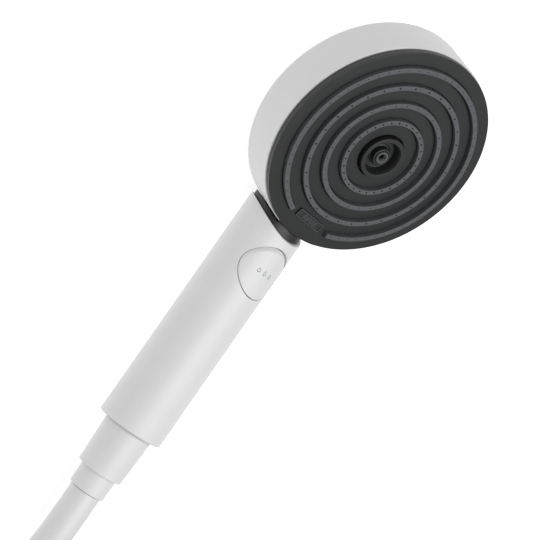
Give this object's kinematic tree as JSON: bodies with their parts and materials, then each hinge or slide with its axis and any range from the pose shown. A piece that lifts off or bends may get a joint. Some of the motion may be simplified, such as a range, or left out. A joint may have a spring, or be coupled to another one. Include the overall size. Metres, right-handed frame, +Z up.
{
  "type": "handheld shower head",
  "caption": "Handheld shower head: round tilted spray face with ring strips, cylinder handle with a push selector, cone nut and a coiled hose.",
  "frame": {"origin": "on the resting surface, under the middle of the shower head's own length, from the head's far edge to the hose ferrule", "axes": "+X along the handle from the head to the hose, +Z up, the side that the spray face and the button are on, +Y to the side that the hose's coil lies on"},
  "size_m": [0.4432, 0.2218, 0.0653],
  "materials": {
    "white_plastic": "moulded, fine matt",
    "dark_plastic": "moulded, satin",
    "grey_silicone": "matt silicone",
    "inner_plastic": "moulded, satin",
    "black_rubber": "matt",
    "red_rubber": "matt",
    "spring_steel": "drawn wire and turned screws",
    "brass": "turned",
    "hose_plastic": "smooth, satin"
  },
  "bodies": {
    "shower_body": {"head_housing": "white_plastic", "handle_shell": "white_plastic", "hose_ferrule": "white_plastic", "far_ferrule": "white_plastic", "face_plate": "dark_plastic", "badge_plate": "dark_plastic", "centre_bowl": "dark_plastic", "centre_nozzle": "dark_plastic", "neck": "dark_plastic", "spray_strip_1": "grey_silicone", "spray_strip_2": "grey_silicone", "spray_strip_3": "grey_silicone", "spray_strip_4": "grey_silicone", "centre_tip": "grey_silicone", "flow_limiter": "grey_silicone", "distributor_plate": "inner_plastic", "waterway_plate": "inner_plastic", "cartridge_body": "inner_plastic", "cartridge_lid": "inner_plastic", "outlet_duct": "inner_plastic", "inlet_duct": "inner_plastic", "inlet_nipple": "inner_plastic", "check_valve_body": "inner_plastic", "spigot_seal": "black_rubber", "rotor_seal": "black_rubber", "outlet_seal": "black_rubber", "inlet_seal": "black_rubber", "filter_washer": "black_rubber", "far_washer": "black_rubber", "face_seal": "red_rubber", "button_spring": "spring_steel", "check_valve_spring": "spring_steel", "clamp_screw_1": "spring_steel", "clamp_screw_2": "spring_steel", "clamp_screw_3": "spring_steel", "hose_tail": "brass", "far_tail": "brass", "hose_lead": "hose_plastic", "hose_coil": "hose_plastic", "hose_end": "hose_plastic"},
    "button": {"select_button": "white_plastic", "button_stem": "inner_plastic"},
    "rotor": {"selector_rotor": "dark_plastic"},
    "hose_nut": {"cone_nut": "white_plastic"},
    "valve_poppet": {"check_valve_poppet": "inner_plastic"},
    "outlet_nut": {"far_union_nut": "white_plastic"}
  },
  "joints": [
    {"name": "button_press", "type": "slide", "parent": "shower_body", "child": "button", "axis": [0, 0, -1], "range_m": [0, 0.0025], "stiffness_N_per_m": 1500, "deforming": ["button_spring"]},
    {"name": "selector_index", "type": "hinge", "parent": "shower_body", "child": "rotor", "pos_m": [0.00196, 0, 0.0125], "axis": [0, 0, 1], "continuous": true},
    {"name": "cone_nut_turn", "type": "hinge", "parent": "shower_body", "child": "hose_nut", "pos_m": [0.104, 0, 0.01581], "axis": [1, 0, 0], "continuous": true},
    {"name": "check_valve_open", "type": "slide", "parent": "shower_body", "child": "valve_poppet", "axis": [-1, 0, 0], "range_m": [0, 0.0025], "stiffness_N_per_m": 80, "deforming": ["check_valve_spring"]},
    {"name": "union_nut_turn", "type": "hinge", "parent": "shower_body", "child": "outlet_nut", "pos_m": [0.1486, 0.062, 0.043], "axis": [0, -1, 0], "continuous": true}
  ]
}
